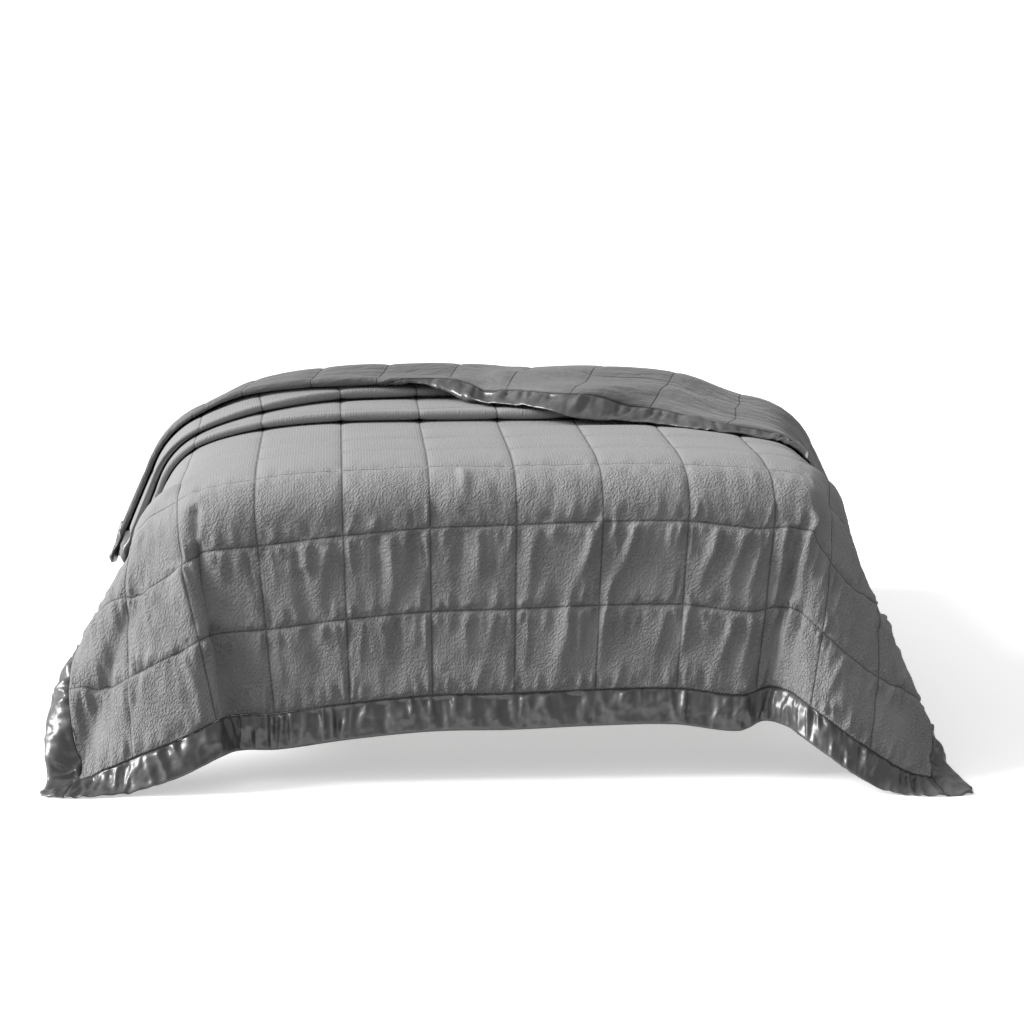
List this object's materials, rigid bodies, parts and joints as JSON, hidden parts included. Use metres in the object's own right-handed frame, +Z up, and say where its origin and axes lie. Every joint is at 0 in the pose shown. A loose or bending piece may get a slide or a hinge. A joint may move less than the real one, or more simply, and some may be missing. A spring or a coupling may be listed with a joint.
{
  "type": "down alternative blanket on a plain bed with mattress and base",
  "caption": "Box quilted blanket with wide satin bindings, draped over the foot of a plain bed, its corners flared to the floor and its head end pleated and turned back.",
  "frame": {"origin": "centre of the bounding box on the floor", "axes": "+X to the right seen from the foot of the bed, +Y from the foot to the head, +Z up"},
  "size_m": [1.868, 2.264, 0.726],
  "materials": {
    "quilted_cloth": "matt woven seersucker, quilted, plain reverse",
    "satin_binding": "satin",
    "mattress_cover": "matt knitted",
    "base_cover": "matt woven",
    "bed_leg": "satin"
  },
  "bodies": {
    "root": {"quilted_field": "quilted_cloth", "binding_foot": "satin_binding", "binding_head": "satin_binding", "binding_left": "satin_binding", "binding_right": "satin_binding", "mattress": "mattress_cover", "bed_base": "base_cover", "leg_foot_left": "bed_leg", "leg_foot_right": "bed_leg", "leg_head_left": "bed_leg", "leg_head_right": "bed_leg"}
  },
  "joints": []
}
